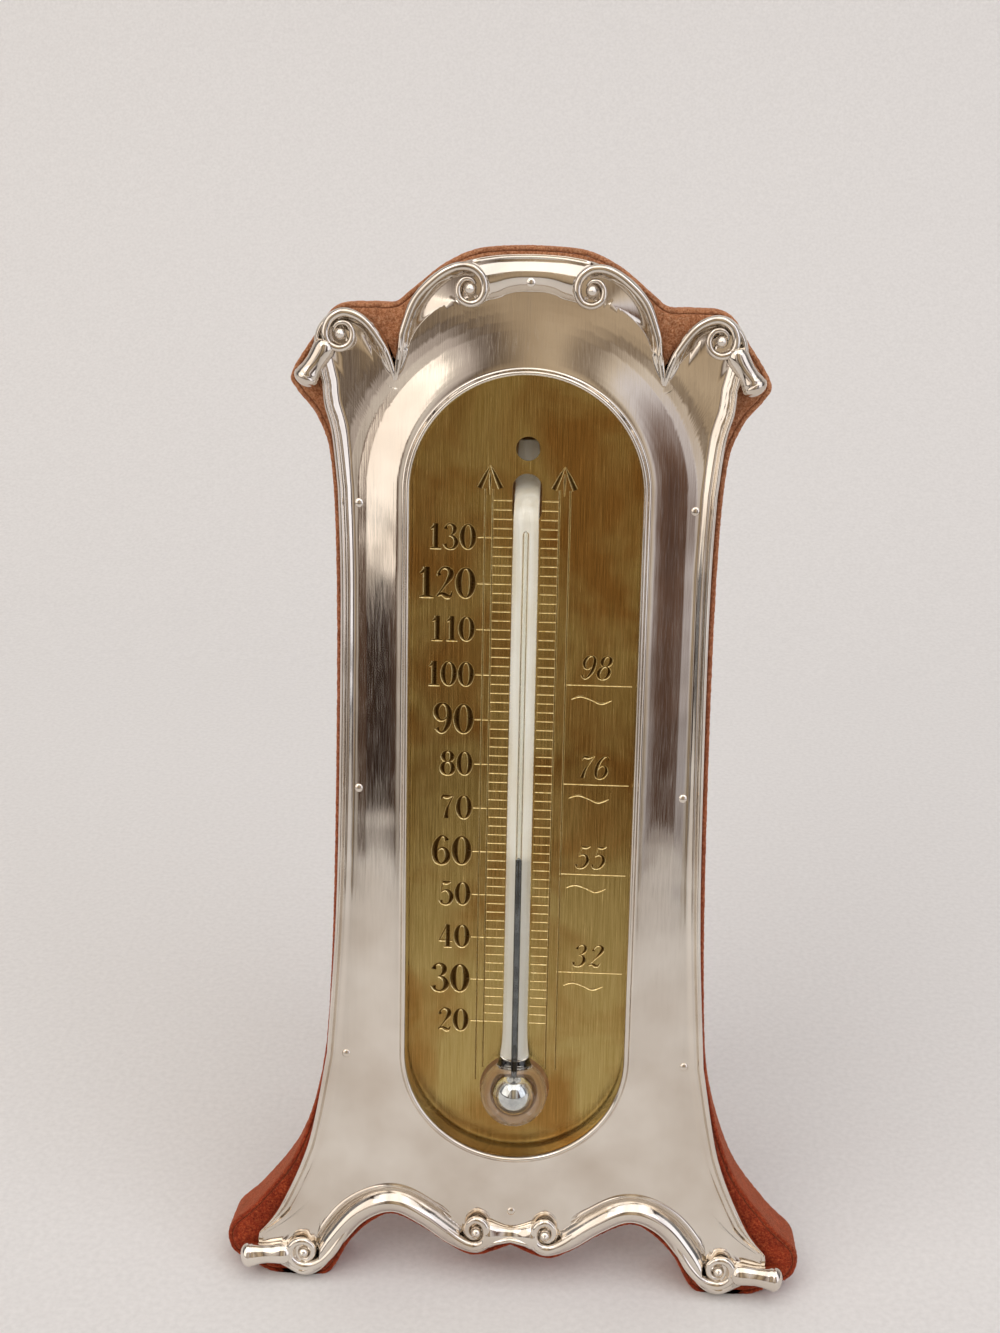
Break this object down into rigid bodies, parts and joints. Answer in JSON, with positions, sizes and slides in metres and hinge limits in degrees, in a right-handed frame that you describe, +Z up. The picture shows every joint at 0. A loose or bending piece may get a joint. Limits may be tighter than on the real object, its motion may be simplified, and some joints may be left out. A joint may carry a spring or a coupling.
{
  "type": "desk thermometer",
  "caption": "Strut-backed desk thermometer: polished silver front with scrolled outline and round-ended window, engraved brass Fahrenheit scale, mercury tube, velvet-covered board.",
  "frame": {"origin": "on the floor, under the middle of the standing object's bounding box", "axes": "+Z up from the floor, -Y the way the silver front faces, X across the front; the front leans back 12 degrees"},
  "size_m": [0.105, 0.066, 0.184],
  "materials": {
    "silver": "mirror-polished stamped silver with fine wear",
    "silver_pins": "polished silver",
    "velvet": "worn rust-red velvet",
    "wood": "plain sawn beech",
    "brass_plate": "lengthwise-brushed, engraved",
    "brass": "plain rolled brass",
    "glass": "clear drawn glass",
    "enamel": "white enamel fused in the glass",
    "mercury": "liquid metal",
    "steel": "drawn wire"
  },
  "bodies": {
    "root": {"silver_front": "silver", "front_pins": "silver_pins", "velvet_front": "velvet", "velvet_edge": "velvet", "velvet_back": "velvet", "wood_board": "wood", "scale_plate": "brass_plate", "plate_pins": "brass", "glass_tube": "glass", "enamel_strip": "enamel", "mercury_bulb": "mercury", "hinge_board_leaf": "brass", "hinge_screws": "brass", "hinge_pin": "steel"},
    "strut": {"hinge_strut_leaf": "brass", "hinge_rivets": "brass", "strut_board": "wood", "strut_velvet_outer": "velvet", "strut_velvet_inner": "velvet"},
    "mercury": {"mercury_thread": "mercury", "mercury_meniscus": "mercury"}
  },
  "joints": [
    {"name": "strut_hinge", "type": "hinge", "parent": "root", "child": "strut", "pos_m": [0, 0.00485, 0.10531], "axis": [-1, 0, 0], "range_deg": [0, 25]},
    {"name": "mercury_level", "type": "slide", "parent": "root", "child": "mercury", "axis": [0, 0.2079, 0.9781], "range_m": [-0.032, 0.056], "deforming": ["mercury_thread"]}
  ]
}
